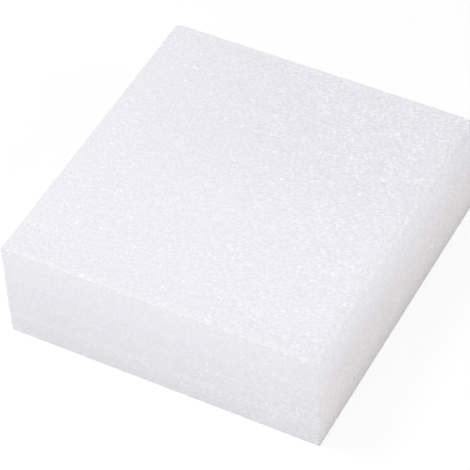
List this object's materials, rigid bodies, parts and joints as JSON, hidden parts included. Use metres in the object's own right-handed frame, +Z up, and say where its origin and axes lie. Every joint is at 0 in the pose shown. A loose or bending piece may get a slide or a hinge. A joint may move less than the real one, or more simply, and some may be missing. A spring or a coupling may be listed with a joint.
{
  "type": "foam block",
  "caption": "Low rectangular block of white closed-cell foam, cut square from a thick laminated plank, with one softly rounded top edge; used as padding, packing or a work rest.",
  "frame": {"origin": "centre of the bottom face, on the surface the block lies on", "axes": "+Z up through the thickness, from the bottom face to the top skin; +Y from the front cut face to the back one, along the longer side; +X to the right of the front face"},
  "size_m": [0.146, 0.153, 0.05],
  "materials": {
    "foam": "expanded closed-cell polyethylene foam, cool white, satin cell walls with small glints"
  },
  "bodies": {
    "root": {"foam_block": "foam"}
  },
  "joints": []
}
